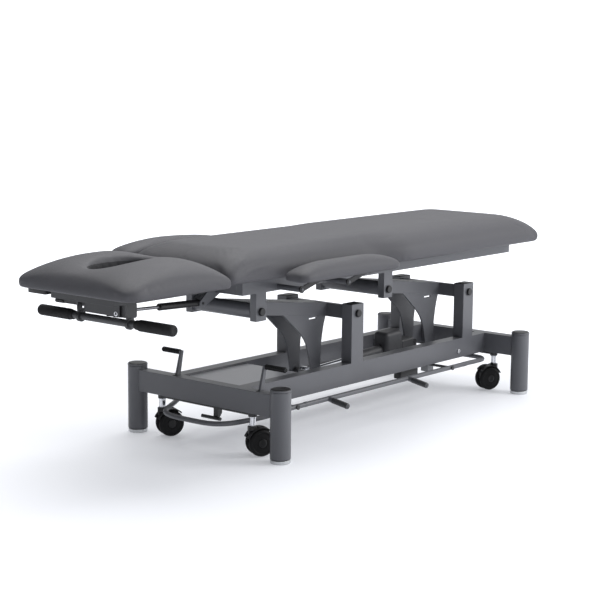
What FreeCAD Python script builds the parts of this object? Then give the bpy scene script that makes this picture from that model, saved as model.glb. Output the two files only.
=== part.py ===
import FreeCAD, Part
import os
import math
from FreeCAD import Vector as V

os.makedirs("parts", exist_ok=True)

# Examination couch, height adjustable, with tilting head section.
# Millimetres. +X runs from the head end to the foot end, +Y is the patient's
# left, +Z is up, floor at Z = 0.

# ---------------------------------------------------------------- dimensions
POST_R = 32.0            # round corner posts
POST_XH = -481.0         # head posts
POST_XF = 863.0          # foot posts
POST_Y = 306.6
POST_Z0 = 14.0
POST_Z1 = 227.0
BEAM_Z0 = 140.0          # base beams
BEAM_Z1 = 210.0
CROSS_HALF = 20.0        # half width of the cross beams
SIDE_Y0 = 121.0          # side beams and uprights
SIDE_Y1 = 163.0
UP_HALF = 31.5
UP_Z1 = 406.5
A1X, A2X, AZ = 77.0, 731.3, 375.5      # lower arm pivots
ARM_L = 474.0
ARM_DEG = 7.2            # arm angle as built, head end raised
B1X = A1X - ARM_L * math.cos(math.radians(ARM_DEG))
B2X = A2X - ARM_L * math.cos(math.radians(ARM_DEG))
BZ = AZ + ARM_L * math.sin(math.radians(ARM_DEG))
CRANK_DX, CRANK_DZ = -77.0, -210.5     # crank pin from the lower arm pivot
RAIL_Y0, RAIL_Y1 = 124.3, 149.5
RAIL_X0, RAIL_X1 = -480.0, 1018.0
RAIL_Z0, RAIL_Z1 = 494.0, 544.0
BOARD_T = 12.0
CUSH_Z1 = 636.0
SEAM_X = -628.0          # hinge line of the head section
HINGE_Z = 538.0
HEAD_X0 = -1040.0
FOOT_X1 = 1040.0
C_MAIN = 273.0           # half width of the main cushion
C_WAIST = 226.0          # half width where the armrests nest
C_HEAD = 245.0
HOLE_X, HOLE_A, HOLE_B = -846.0, 95.0, 62.0   # face opening
ARM_X, ARM_Z = -909.0, 457.0           # handlebar axis
GX, GZ = -535.0, 466.0                 # gas spring, lower eye
G2X, G2Z = -835.0, 478.0               # gas spring, rod eye
GY = -20.0
LINK_R = 103.0           # armrest swing links
LINK_Z = 505.0
LINK_XF, LINK_XR = -310.0, -75.0
LINK_LOW = 15.8          # link elevation, armrest lowered
LINK_UP = 139.2          # link elevation, armrest raised
CAST_Y = 194.0
WHEEL_R = 42.5
WHEEL_Z = WHEEL_R + 2.0  # retracted castors clear the floor
TRAIL = 25.0
HOOP_R = 8.0
HOOP_Y = 213.0
HOOP_Z = 128.5
YOKE_Z = 175.0
YOKE_X = (-300.0, 552.0)
SHAFT_X, SHAFT_Z = -478.0, 190.0       # castor lever shaft


def box(x0, x1, y0, y1, z0, z1):
    return Part.makeBox(x1 - x0, y1 - y0, z1 - z0, V(x0, y0, z0))


def tube(x0, x1, y0, y1, z0, z1, w):
    return box(x0, x1, y0, y1, z0, z1).cut(
        box(x0 + w, x1 - w, y0 + w, y1 - w, z0 + w, z1 - w))


def cyl(p, d, r, l):
    return Part.makeCylinder(r, l, V(*p), V(*d))


def cyly(x, z, y0, y1, r):
    return Part.makeCylinder(r, y1 - y0, V(x, y0, z), V(0, 1, 0))


def cylz(x, y, z0, z1, r):
    return Part.makeCylinder(r, z1 - z0, V(x, y, z0), V(0, 0, 1))


def rod(a, b, r):
    a, b = V(*a), V(*b)
    d = b.sub(a)
    return Part.makeCylinder(r, d.Length, a, d)


def prism_y(pts, y0, y1):
    w = Part.makePolygon([V(x, y0, z) for x, z in pts] + [V(pts[0][0], y0, pts[0][1])])
    return Part.Face(w).extrude(V(0, y1 - y0, 0))


def prism_z(pts, z0, z1):
    w = Part.makePolygon([V(x, y, z0) for x, y in pts] + [V(pts[0][0], pts[0][1], z0)])
    return Part.Face(w).extrude(V(0, 0, z1 - z0))


def mirror(s):
    return s.mirror(V(0, 0, 0), V(0, 1, 0))


def turn(s, p, deg):
    s = s.copy()
    s.rotate(V(*p), V(0, 1, 0), deg)
    return s


def fuse(*parts):
    s = parts[0]
    for p in parts[1:]:
        s = s.fuse(p)
    try:
        s = s.removeSplitter()
    except Exception:
        pass
    return s


def save(name, shape):
    if not shape.isValid():
        print("INVALID", name)
    shape.exportStep("parts/%s.step" % name)
    print(name, len(shape.Solids), round(shape.Volume / 1e3, 1))


# ---------------------------------------------------------------- base frame
def post(x, y):
    s = cylz(x, y, POST_Z0, POST_Z1 - 7.0, POST_R)
    s = s.cut(cylz(x, y, 62.0, POST_Z1 - 12.0, POST_R - 3.0))
    cap = Part.makeCylinder(POST_R + 0.6, 5.5, V(x, y, POST_Z1 - 5.5))
    cap = cap.makeFillet(2.0, [e for e in cap.Edges if abs(e.BoundBox.ZMin - POST_Z1) < 1e-6])
    neck = cylz(x, y, POST_Z1 - 7.0, POST_Z1 - 5.5, POST_R - 1.5)
    s = fuse(s, neck, cap)
    return s.cut(cylz(x, y, POST_Z0 - 1.0, 56.0, 8.3))


def foot_disc(x, y):
    d = Part.makeCylinder(31.0, 12.0, V(x, y, 0))
    d = d.makeChamfer(1.5, [e for e in d.Edges if len(e.Vertexes) == 1])
    return fuse(d, cylz(x, y, 12.0, 48.0, 8.0))


for tag, x in (("head", POST_XH), ("foot", POST_XF)):
    for side, y in (("right", -POST_Y), ("left", POST_Y)):
        save("post_%s_%s" % (tag, side), post(x, y))
        save("foot_disc_%s_%s" % (tag, side), foot_disc(x, y))

LEVER_Y = (-221.0, 132.0)


def cross_beam(x, slots):
    s = box(x - CROSS_HALF, x + CROSS_HALF, -POST_Y, POST_Y, BEAM_Z0, BEAM_Z1)
    s = s.cut(box(x - CROSS_HALF + 3, x + CROSS_HALF - 3, -POST_Y + 40, POST_Y - 40,
                  BEAM_Z0 + 3, BEAM_Z1 - 3))
    for y in (-POST_Y, POST_Y):
        s = s.cut(cylz(x, y, 100, 260, POST_R))
    for y in (-CAST_Y, CAST_Y):
        s = s.cut(cylz(x, y, BEAM_Z0 - 1, BEAM_Z0 + 4, 10.6))
    if slots:
        for y in LEVER_Y:
            s = s.cut(box(-495.0, -464.0, y - 6.5, y + 6.5, BEAM_Z1 - 5, BEAM_Z1 + 1))
    return s


save("cross_beam_head", cross_beam(POST_XH, True))
save("cross_beam_foot", cross_beam(POST_XF, False))


def side_frame():
    s = tube(POST_XH + CROSS_HALF, POST_XF - CROSS_HALF, SIDE_Y0, SIDE_Y1, BEAM_Z0, BEAM_Z1, 2.5)
    for ax in (A1X, A2X):
        u = tube(ax - UP_HALF, ax + UP_HALF, SIDE_Y0, SIDE_Y1, BEAM_Z1, UP_Z1, 2.5)
        u = fuse(u, cyly(ax, AZ, SIDE_Y0 + 1, SIDE_Y1 - 1, 16.0))
        s = s.fuse(u)
        s = s.cut(cyly(ax, AZ, SIDE_Y0 - 1, SIDE_Y1 + 1, 10.08))
    # lugs for the foot bar yokes, on the inner faces
    for x in YOKE_X:
        lug = fuse(box(x - 12, x + 12, 113.0, SIDE_Y0, YOKE_Z - 12, YOKE_Z + 18))
        s = s.fuse(lug)
        s = s.cut(cyly(x, YOKE_Z, 112.0, SIDE_Y0 - 0.001, 5.08))
    return s.removeSplitter()


left = side_frame()
save("side_frame_left", left)
save("side_frame_right", mirror(left))

tray = box(POST_XH + CROSS_HALF, -155.0, -SIDE_Y0, SIDE_Y0, 199.0, 202.0)
tray = fuse(tray, box(-158.0, -155.0, -SIDE_Y0, SIDE_Y0, 180.0, 202.0))
save("tray_plate", tray)

ACT_X, ACT_Z = 600.0, 190.0
m = box(575.0, 613.0, -SIDE_Y0, SIDE_Y0, BEAM_Z0, BEAM_Z0 + 6)
for y in (-1, 1):
    lug = fuse(box(586.0, 613.0, 15.0, 21.0, BEAM_Z0 + 6, ACT_Z), cyly(ACT_X, ACT_Z, 15.0, 21.0, 13.0))
    if y < 0:
        lug = mirror(lug)
    m = m.fuse(lug)
m = m.cut(cyly(ACT_X, ACT_Z, -25, 25, 6.08))
save("actuator_mount", m.removeSplitter())

# ---------------------------------------------------------------- castors
def carrier(x, hook):
    s = box(x - 10, x + 10, -CAST_Y, CAST_Y, 131.0, 139.0)
    for y in (-CAST_Y, CAST_Y):
        s = s.fuse(cylz(x, y, 97.0, 168.0, 10.0))
        s = s.fuse(cylz(x, y, 127.0, 139.0, 14.0))
        s = s.cut(cylz(x, y, 96.0, 125.0, 6.06))
    if hook:
        h = prism_y([(-491, 131), (-471, 131), (-471, 116), (-487, 96), (-497, 96), (-491, 108)], -58.0, -40.0)
        h = h.fuse(rod((-492, -70, 100), (-492, 8, 100), 5.5))
        s = s.fuse(h)
    return s.removeSplitter()


save("castor_carrier_head", carrier(POST_XH, True))
save("castor_carrier_foot", carrier(POST_XF, False))


def castor(x, y, yaw):
    # hood with kingpin, trailing along local +x
    hood = prism_y([(-14, 96), (16, 96), (TRAIL + 24, 84), (TRAIL + 33, 66), (TRAIL + 35, 44.5),
                    (TRAIL + 8, 36), (-8, 52), (-14, 78)], -7.0, 7.0)
    collar = cylz(0, 0, 84.0, 96.4, 14.0)
    king = cylz(0, 0, 96.0, 124.0, 6.0)
    fork = fuse(hood, collar, king)
    # arched cover plates over both wheels
    for s in (-1, 1):
        ring = cyly(TRAIL, WHEEL_Z, 7.0 if s > 0 else -20.0, 20.0 if s > 0 else -7.0, 48.5)
        ring = ring.cut(cyly(TRAIL, WHEEL_Z, -30, 30, 45.0))
        ring = ring.common(box(-22.0, TRAIL + 34.0, -30, 30, 62.0, 96.4))
        fork = fork.fuse(ring)
    fork = fork.cut(cyly(TRAIL, WHEEL_Z, -30, 30, 5.08))
    w = fuse(cyly(TRAIL, WHEEL_Z, -24.0, 24.0, 5.0))
    for s in (-1, 1):
        d = cyly(TRAIL, WHEEL_Z, 8.0, 25.0, WHEEL_R)
        d = d.makeFillet(4.0, [e for e in d.Edges if len(e.Vertexes) == 1])
        if s < 0:
            d = mirror(d)
        w = w.fuse(d)
    out = []
    for g in (fork, w.removeSplitter()):
        g = g.copy()
        g.rotate(V(0, 0, 0), V(0, 0, 1), yaw)
        g.translate(V(x, y, 0))
        out.append(g)
    return out


CASTORS = (("head_right", POST_XH, -CAST_Y, -28.0), ("head_left", POST_XH, CAST_Y, -25.0),
           ("foot_right", POST_XF, -CAST_Y, 157.0), ("foot_left", POST_XF, CAST_Y, 163.0))
for tag, x, y, yaw in CASTORS:
    f, w = castor(x, y, yaw)
    save("castor_fork_" + tag, f)
    save("castor_wheels_" + tag, w)

# lever shaft with two foot levers
s = cyly(SHAFT_X, SHAFT_Z, -232.0, 142.0, 7.0)
for y, out in ((LEVER_Y[0], -1), (LEVER_Y[1], 1)):
    lev = prism_y([(-8, -9), (8, -9), (8, 30), (5, 100), (-5, 100), (-8, 30)], y - 4.0, y + 4.0)
    lev.translate(V(SHAFT_X, 0, SHAFT_Z))
    lev = turn(lev, (SHAFT_X, 0, SHAFT_Z), 13.0)
    a = math.radians(13.0)
    tx, tz = SHAFT_X + 94 * math.sin(a), SHAFT_Z + 94 * math.cos(a)
    pin = cyly(tx, tz, y, y + 82.0, 6.5) if out > 0 else cyly(tx, tz, y - 86.0, y, 6.5)
    s = s.fuse(lev).fuse(pin)
save("castor_levers", s.removeSplitter())

# ---------------------------------------------------------------- foot bar
def arc(cx, cy, r, a0, a1, n, z0, z1):
    o = []
    for i in range(n + 1):
        a = math.radians(a0 + (a1 - a0) * i / n)
        o.append((cx + r * math.cos(a), cy + r * math.sin(a), z0 + (z1 - z0) * i / n))
    return o


def sweep(pts, r):
    # round tube along a smooth open curve
    bs = Part.BSplineCurve()
    bs.interpolate([V(*p) for p in pts])
    e = bs.toShape()
    t = bs.tangent(bs.FirstParameter)[0]
    prof = Part.Wire([Part.makeCircle(r, V(*pts[0]), t)])
    return Part.Wire([e]).makePipeShell([prof], True, False)


# straight side rail plus a bent end at the head and at the foot
foot_end = [(790.0, 0.0, HOOP_Z), (790.0, -60.0, HOOP_Z), (790.0, -120.0, HOOP_Z)]
foot_end += arc(745.0, -HOOP_Y + 45.0, 45.0, 0, -90, 6, HOOP_Z, HOOP_Z) + [(700.0, -HOOP_Y, HOOP_Z), (640.0, -HOOP_Y, HOOP_Z)]
head_end = [(-250.0, -HOOP_Y, HOOP_Z), (-290.0, -HOOP_Y, HOOP_Z), (-330.0, -HOOP_Y, HOOP_Z), (-372.0, -206.0, 122.5),
            (-412.0, -190.0, 114.0), (-470.0, -164.0, 107.0), (-515.0, -143.0, 103.5), (-544.0, -116.0, 101.5),
            (-557.0, -82.0, 100.2), (-562.0, -40.0, 100.0), (-563.0, 0.0, 100.0), (-562.0, 40.0, 100.0),
            (-557.0, 82.0, 100.2), (-544.0, 116.0, 101.5), (-515.0, 143.0, 103.5), (-470.0, 164.0, 107.0),
            (-412.0, 190.0, 114.0), (-372.0, 206.0, 122.5), (-330.0, HOOP_Y, HOOP_Z), (-290.0, HOOP_Y, HOOP_Z),
            (-250.0, HOOP_Y, HOOP_Z)]
foot_loop = foot_end[::-1] + [(x, -y, z) for x, y, z in foot_end[1:]]
hoop = sweep(head_end, HOOP_R)
hoop = hoop.fuse(sweep(foot_loop, HOOP_R))
for y in (-HOOP_Y, HOOP_Y):
    hoop = hoop.fuse(rod((-250.0, y, HOOP_Z), (640.0, y, HOOP_Z), HOOP_R))
    for x in (-257.0, 633.0):
        hoop = hoop.fuse(cyl((x, y, HOOP_Z), (1, 0, 0), HOOP_R + 0.5, 14.0))
for x0, x1 in ((-136.0, -141.0), (299.0, 292.0)):
    peg = rod((x0, -HOOP_Y, HOOP_Z), (x1, -HOOP_Y - 85.0, HOOP_Z - 12.5), 8.5)
    hoop = hoop.fuse(peg).fuse(mirror(peg))
for x in YOKE_X:
    hoop = hoop.cut(cyly(x, HOOP_Z, -230, 230, 5.08))
save("foot_bar", hoop)

for tag, x in (("head", YOKE_X[0]), ("foot", YOKE_X[1])):
    y = cyly(x, HOOP_Z, -HOOP_Y - 11.0, HOOP_Y + 11.0, 5.0)
    for sgn in (-1, 1):
        lk = box(x - 9, x + 9, 106.0, 112.0, HOOP_Z, YOKE_Z)
        lk = lk.fuse(cyly(x, YOKE_Z, 106.0, 112.0, 9.0)).fuse(cyly(x, HOOP_Z, 106.0, 112.0, 9.0))
        lk = lk.fuse(cyly(x, YOKE_Z, 111.0, 120.5, 5.0))
        hd = cyly(x, HOOP_Z, HOOP_Y + 9.0, HOOP_Y + 13.0, 7.5)
        lk = lk.fuse(hd)
        y = y.fuse(lk if sgn > 0 else mirror(lk))
    save("foot_bar_yoke_" + tag, y.removeSplitter())

# ---------------------------------------------------------------- lifting arms
def arm(ax, cross_pin):
    # built level along -X from the pivot, then turned to the arm angle
    tq = tube(ax - 25, ax + 25, -120.4, 120.4, AZ - 22, AZ + 22, 3.0)
    bm = box(ax - ARM_L + 12, ax - 25, -48, 48, AZ - 22, AZ + 22)
    bm = bm.cut(box(ax - ARM_L + 30, ax - 28, -45, 45, AZ - 19, AZ + 19))
    rt = cyly(ax - ARM_L, AZ, -122.2, 122.2, 24.0).cut(cyly(ax - ARM_L, AZ, -116, 116, 21.0))
    bm = bm.cut(cyly(ax - ARM_L, AZ, -130, 130, 23.0))
    s = tq.fuse(bm).fuse(rt)
    for g in (1, -1):
        p = cyly(ax, AZ, 117.4, SIDE_Y1 + 0.4, 10.0).fuse(
            cyly(ax - ARM_L, AZ, 116.0, RAIL_Y1 + 0.4, 8.0))
        s = s.fuse(p if g > 0 else mirror(p))
    s = s.removeSplitter()
    s = turn(s, (ax, 0, AZ), ARM_DEG)
    caps = None
    bx, bz = ax - ARM_L * math.cos(math.radians(ARM_DEG)), BZ
    for (x, z, y) in ((ax, AZ, SIDE_Y1 + 0.4), (bx, bz, RAIL_Y1 + 0.4)):
        c = cyly(x, z, y, y + 8.0, 13.0)
        c = c.makeFillet(2.5, [e for e in c.Edges if len(e.Vertexes) == 1 and e.BoundBox.YMin > y + 7])
        caps = c if caps is None else caps.fuse(c)
    caps = caps.fuse(mirror(caps))
    # crank plates
    cx, cz = ax + CRANK_DX, AZ + CRANK_DZ
    dx = ax - A1X
    P = [(-167, 386), (-138, 361), (-109, 337), (-86, 318), (-69, 301), (-58, 288), (-49, 273),
         (-41, 250), (-34, 225), (-28, 200), (-24, 175), (-23.5, 165), (-20.5, 153), (-12, 144), (0, 141),
         (12, 144), (20.5, 153), (23.5, 165), (24, 186), (25, 225), (27, 266), (33, 300), (40, 330),
         (49, 359.5)]
    top = []
    for x in (49.0, -167.0):
        top.append(AZ + (A1X - x) * math.tan(math.radians(ARM_DEG)) - 22 / math.cos(math.radians(ARM_DEG)))
    P[0] = (-167.0, top[1])
    P[-1] = (49.0, top[0])
    pts = [(x + dx, z) for x, z in P]
    plate = prism_y(pts, 42.0, 48.0)
    slot = box(-38.0 + dx, 2.0 + dx, 40.0, 50.0, 354.0, 359.5)
    plate = plate.cut(slot)
    cr = plate.fuse(mirror(plate))
    if cross_pin:
        cr = cr.fuse(cyly(cx, cz, -50.5, 50.5, 6.0))
        cr = cr.fuse(cyly(cx, cz, 48.0, 51.0, 10.0)).fuse(cyly(cx, cz, -51.0, -48.0, 10.0))
    else:
        cr = cr.fuse(cyly(cx, cz, 29.0, 50.5, 6.0)).fuse(cyly(cx, cz, 48.0, 51.0, 10.0))
    return s, caps, cr


s, c, k = arm(A1X, True)
save("arm_head_frame", s)
save("arm_head_caps", c)
save("arm_head_cranks", k)
s, c, k = arm(A2X, False)
save("arm_foot_frame", s)
save("arm_foot_caps", c)
save("arm_foot_cranks", k)

C1X, CZ = A1X + CRANK_DX, AZ + CRANK_DZ
C2X = A2X + CRANK_DX
t = box(C1X, C2X, 31.0, 37.0, CZ - 10, CZ + 10)
for x in (C1X, C2X):
    t = t.fuse(cyly(x, CZ, 31.0, 37.0, 14.0))
t = t.cut(cyly(C1X, CZ, 20, 40, 6.08)).cut(cyly(C2X, CZ, 20, 40, 6.4))
save("tie_rod", t.removeSplitter())

# ---------------------------------------------------------------- actuator
ang = math.degrees(math.atan2(ACT_Z - CZ, ACT_X - C1X))   # slopes down to the head
AL = math.hypot(ACT_Z - CZ, ACT_X - C1X)
# built level along -X from the rear eye
body = cyly(ACT_X, ACT_Z, -14.5, 14.5, 13.0)
body = body.fuse(box(ACT_X - 84, ACT_X - 8, -14.5, 14.5, ACT_Z - 13, ACT_Z + 13))
gear = box(ACT_X - 96, ACT_X - 22, -36, 26, ACT_Z - 26, ACT_Z + 26)
gear = gear.makeFillet(7.0, gear.Edges)
motor = box(ACT_X - 186, ACT_X - 92, -38, 27, ACT_Z - 22, ACT_Z + 66)
motor = motor.makeFillet(14.0, [e for e in motor.Edges if e.BoundBox.ZMin > ACT_Z + 20 or abs(e.BoundBox.ZMax - e.BoundBox.ZMin) > 60])
outer = cyl((ACT_X - 180, 0, ACT_Z), (-1, 0, 0), 19.0, 170.0)
outer = outer.cut(cyl((ACT_X - 200, 0, ACT_Z), (-1, 0, 0), 11.1, 160.0))
body = body.fuse(gear).fuse(motor).fuse(outer)
body = body.fuse(cyly(ACT_X, ACT_Z, -24.0, 24.0, 6.0))
body = turn(fuse(body), (ACT_X, 0, ACT_Z), -ang)
save("actuator_body", body)

r0 = cyl((ACT_X - 216, 0, ACT_Z), (-1, 0, 0), 11.0, AL - 216 - 13)
eye = cyly(ACT_X - AL, ACT_Z, -12, 12, 21.0)
eye = eye.cut(cyly(ACT_X - AL, ACT_Z, -20, 20, 13.5))
r0 = r0.fuse(eye).cut(cyly(ACT_X - AL, ACT_Z, -20, 20, 13.5))
r0 = turn(fuse(r0), (ACT_X, 0, ACT_Z), -ang)
save("actuator_rod", r0)

# ---------------------------------------------------------------- top frame
def rail():
    s = tube(RAIL_X0, RAIL_X1, RAIL_Y0, RAIL_Y1, RAIL_Z0, RAIL_Z1, 2.5)
    for bx, rr in ((B1X, 8.08), (B2X, 8.3)):
        s = s.fuse(box(bx - 23.5, bx + 23.5, RAIL_Y0, RAIL_Y1, 405.7, RAIL_Z0))
        s = s.cut(box(bx - 20.5, bx + 20.5, RAIL_Y0 + 3, RAIL_Y1 - 3, BZ + 18, RAIL_Z0 - 3))
        s = s.cut(cyly(bx, BZ, RAIL_Y0 - 1, RAIL_Y1 + 1, rr))
    # armrest link pivots
    for x in (LINK_XF, LINK_XR):
        s = s.fuse(cyly(x, LINK_Z, RAIL_Y1 - 0.5, 238.0, 9.0))
        s = s.fuse(cyly(x, LINK_Z, 236.0, 246.5, 5.0))
    return s.removeSplitter()


left = rail()
save("rail_left", left)
save("rail_right", mirror(left))

# head cross tube with hinge arms and gas spring bracket
s = tube(RAIL_X0, RAIL_X0 + 40, -RAIL_Y0, RAIL_Y0, RAIL_Z0, RAIL_Z1, 2.5)
for g in (1, -1):
    a = box(SEAM_X, RAIL_X0, 92.0, 100.0, HINGE_Z - 14, HINGE_Z + 5.5)
    a = a.fuse(cyly(SEAM_X, HINGE_Z, 92.0, 100.0, 9.0)).cut(box(-800, -400, 80, 120, RAIL_Z1 - 0.4, 600))
    a = a.cut(cyly(SEAM_X, HINGE_Z, 80, 130, 5.08))
    s = s.fuse(a if g > 0 else mirror(a))
for y in (GY - 17.0, GY + 11.0):
    lug = prism_y([(RAIL_X0, 494), (RAIL_X0, 520), (GX + 20, 500), (GX - 12, GZ + 6), (GX - 9, GZ - 10),
                   (GX + 6, GZ - 12), (RAIL_X0 + 30, 494)], y, y + 6.0)
    lug = lug.cut(box(RAIL_X0, RAIL_X0 + 60, -60, 60, RAIL_Z0, RAIL_Z1))
    s = s.fuse(lug)
s = s.cut(cyly(GX, GZ, -60, 30, 4.06))
save("head_cross_tube", s.removeSplitter())


def waist(x):
    if x <= 60.0:
        return C_WAIST
    t = min(1.0, (x - 60.0) / 170.0)
    return C_WAIST + (C_MAIN - C_WAIST) * t * t * (3 - 2 * t)


def main_plan(inset, x0, x1, r0, r1):
    # right-hand edge from head to foot, then mirrored back
    pts = []
    r0, r1 = r0 + 0.4 * inset, r1 + 0.4 * inset
    c0 = waist(x0 + 1) - inset
    for i in range(7):
        a = math.radians(90 * i / 6)
        pts.append((x0 + r0 - r0 * math.cos(a), -(c0 - r0 + r0 * math.sin(a))))
    for x in range(60, 231, 17):
        pts.append((float(x), -(waist(float(x)) - inset)))
    c1 = C_MAIN - inset
    for i in range(9):
        a = math.radians(90 * i / 8)
        pts.append((x1 - r1 + r1 * math.sin(a), -(c1 - r1 + r1 * math.cos(a))))
    pts += [(x, -y) for x, y in reversed(pts)]
    return pts


main_board = prism_z(main_plan(22.0, SEAM_X + 29, FOOT_X1 - 22, 20.0, 24.0), RAIL_Z1, RAIL_Z1 + BOARD_T)
save("main_board", main_board)


def dome(plan, sections):
    # crowned pad: ruled loft through plan outlines that step in towards the top
    wires = []
    for z, inset in sections:
        pts = [V(x, y, z) for x, y in plan(inset)]
        wires.append(Part.makePolygon(pts + [pts[0]]))
    return Part.makeLoft(wires, True, True)


cush = dome(lambda i: main_plan(i, SEAM_X + 7 + 0.8 * i, FOOT_X1 - i, 30.0, 34.0),
            [(RAIL_Z1, 5.0), (553.0, 0.0), (588.0, 0.0), (608.0, 9.0), (624.0, 26.0), (632.0, 46.0), (CUSH_Z1, 72.0)])
cush = cush.cut(main_board)
tilt = prism_y([(SEAM_X - 20, 500), (SEAM_X, HINGE_Z), (SEAM_X + 0.29 * 130, HINGE_Z + 130), (SEAM_X - 20, HINGE_Z + 130)],
               -400, 400)
cush = cush.cut(tilt)
save("main_cushion", cush)

# ---------------------------------------------------------------- head section
def head_plan(inset, x0, x1, r0, r1):
    c = C_HEAD - inset
    r0, r1 = r0 + 0.4 * inset, r1 + 0.4 * inset
    pts = []
    for i in range(9):
        a = math.radians(90 * i / 8)
        pts.append((x0 + r0 - r0 * math.cos(a), -(c - r0 + r0 * math.sin(a))))
    for i in range(7):
        a = math.radians(90 * i / 6)
        pts.append((x1 - r1 + r1 * math.sin(a), -(c - r1 + r1 * math.cos(a))))
    pts += [(x, -y) for x, y in reversed(pts)]
    return pts


def oval(a, b, z0, z1):
    e = Part.Ellipse(V(HOLE_X, 0, z0), a, b).toShape()
    return Part.Face(Part.Wire([e])).extrude(V(0, 0, z1 - z0))


hb = prism_z(head_plan(22.0, HEAD_X0 + 22, SEAM_X - 29, 24.0, 20.0), RAIL_Z1, RAIL_Z1 + BOARD_T)
hb = hb.cut(oval(HOLE_A + 8, HOLE_B + 8, 500, 600))
save("head_board", hb)

hc = dome(lambda i: head_plan(i, HEAD_X0 + 1.3 * i, SEAM_X - 7 - 0.8 * i, 30.0, 30.0),
          [(RAIL_Z1, 5.0), (553.0, 0.0), (566.0, 0.0), (586.0, 9.0), (606.0, 26.0), (622.0, 48.0), (631.0, 72.0), (CUSH_Z1, 98.0)])
hc = hc.cut(oval(HOLE_A, HOLE_B, 500, 700)).cut(hb)
tilt2 = prism_y([(SEAM_X + 20, 500), (SEAM_X, HINGE_Z), (SEAM_X - 0.29 * 130, HINGE_Z + 130), (SEAM_X + 20, HINGE_Z + 130)],
                -400, 400)
hc = hc.cut(tilt2)
save("head_cushion", hc)

a = box(-1000.0, SEAM_X, 105.0, 130.0, 519.0, RAIL_Z1)
a = a.cut(box(-997.0, SEAM_X - 20, 108.0, 127.0, 522.0, RAIL_Z1 - 3))
a = a.cut(box(SEAM_X - 9.5, SEAM_X + 20, 80.0, 140.0, 500.0, 531.9))
a = a.cut(box(SEAM_X - 3.0, SEAM_X + 20, 80.0, 140.0, 500.0, 560.0))
a = a.fuse(cyly(SEAM_X, HINGE_Z, 101.0, 130.0, 5.9)).fuse(cyly(SEAM_X, HINGE_Z, 90.5, 130.0, 5.0))
ear = prism_y([(-925, 520), (-890, 520), (-895, 470), (-898, 446), (-920, 446), (-921, 470)], 100.0, 106.0)
ear = ear.fuse(cyly(ARM_X, ARM_Z, 98.0, 108.0, 17.0))
a = a.fuse(ear)
s = a.fuse(mirror(a))
s = s.fuse(box(-1000.0, -975.0, -105.0, 105.0, 519.0, RAIL_Z1))
s = s.fuse(box(-912.0, -906.0, -64.0, 86.0, 472.0, 524.0))
s = s.fuse(box(-918.0, -900.0, -106.0, 106.0, 519.0, 527.0))
s = s.cut(cyly(ARM_X, ARM_Z, -120, 120, 11.0))
s = s.cut(box(-905.0, -860.0, 95.0, 112.0, 479.5, 498.5))
# seat and pivot pin of the release lever
RLX, RLY, RLZ = -890.0, 12.0, 489.0
s = s.fuse(box(RLX - 14, RLX + 14, -4.0, 28.0, RLZ + 7, 520.5)).fuse(cylz(RLX, RLY, RLZ - 8, RLZ + 8, 3.0))
# lugs for the gas spring rod, with a lengthwise slot
for y in (GY - 17.0, GY + 11.0):
    lug = prism_y([(-906, 518), (-906, 468), (-852, 459), (-816, 459), (-816, 497), (-852, 500)], y, y + 6.0)
    sl = box(G2X - 13, G2X + 13, y - 1, y + 7, G2Z - 12, G2Z + 12)
    s = s.fuse(lug.cut(sl))
save("head_frame", s.removeSplitter())

hbar = cyly(ARM_X, ARM_Z, -278.0, 278.0, 11.0)
hbar = hbar.cut(cyly(ARM_X, ARM_Z, -270.0, 270.0, 9.0))
save("handlebar", hbar)
for side, g in (("left", 1), ("right", -1)):
    gr = cyly(ARM_X, ARM_Z, 130.0, 282.0, 17.0)
    gr = gr.makeFillet(4.0, [e for e in gr.Edges if len(e.Vertexes) == 1])
    gr = gr.cut(cyly(ARM_X, ARM_Z, 120.0, 278.0, 11.0))
    save("grip_" + side, gr if g > 0 else mirror(gr))

# release lever beside the handlebar, pivot upright in a small box
s = cylz(RLX, RLY, RLZ - 6, RLZ + 6, 9.0)
s = s.fuse(box(RLX - 4, RLX + 4, RLY, 200.0, RLZ - 5, RLZ + 5))
s = s.fuse(cyl((RLX, 196.0, RLZ), (0, 1, 0), 7.0, 34.0))
s = s.cut(cylz(RLX, RLY, RLZ - 20, RLZ + 20, 3.06))
save("release_lever", s.removeSplitter())
s = box(-905.9, -876.0, -98.0, -38.5, 470.0, 518.9)
s = s.makeFillet(3.0, [e for e in s.Edges if e.BoundBox.ZMax < 471 or (e.BoundBox.XMin > -877)])
save("latch_box", s)

# gas spring
gang = math.degrees(math.atan2(G2Z - GZ, GX - G2X))
GL = math.hypot(G2Z - GZ, GX - G2X)
s = cyly(GX, GZ, GY - 8, GY + 8, 9.0).fuse(cyl((GX - 6, GY, GZ), (-1, 0, 0), 11.0, 168.0))
s = s.cut(cyl((GX - 20, GY, GZ), (-1, 0, 0), 5.1, 160.0))
s = s.fuse(cyly(GX, GZ, GY - 19, GY + 19, 4.0))
save("gas_spring_cylinder", turn(s, (GX, GY, GZ), gang).removeSplitter())
s = cyl((GX - 60, GY, GZ), (-1, 0, 0), 5.0, GL - 60)
s = s.fuse(cyly(GX - GL, GZ, GY - 8, GY + 8, 8.5)).fuse(cyly(GX - GL, GZ, GY - 19, GY + 19, 3.5))
save("gas_spring_rod", turn(s, (GX, GY, GZ), gang).removeSplitter())

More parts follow.
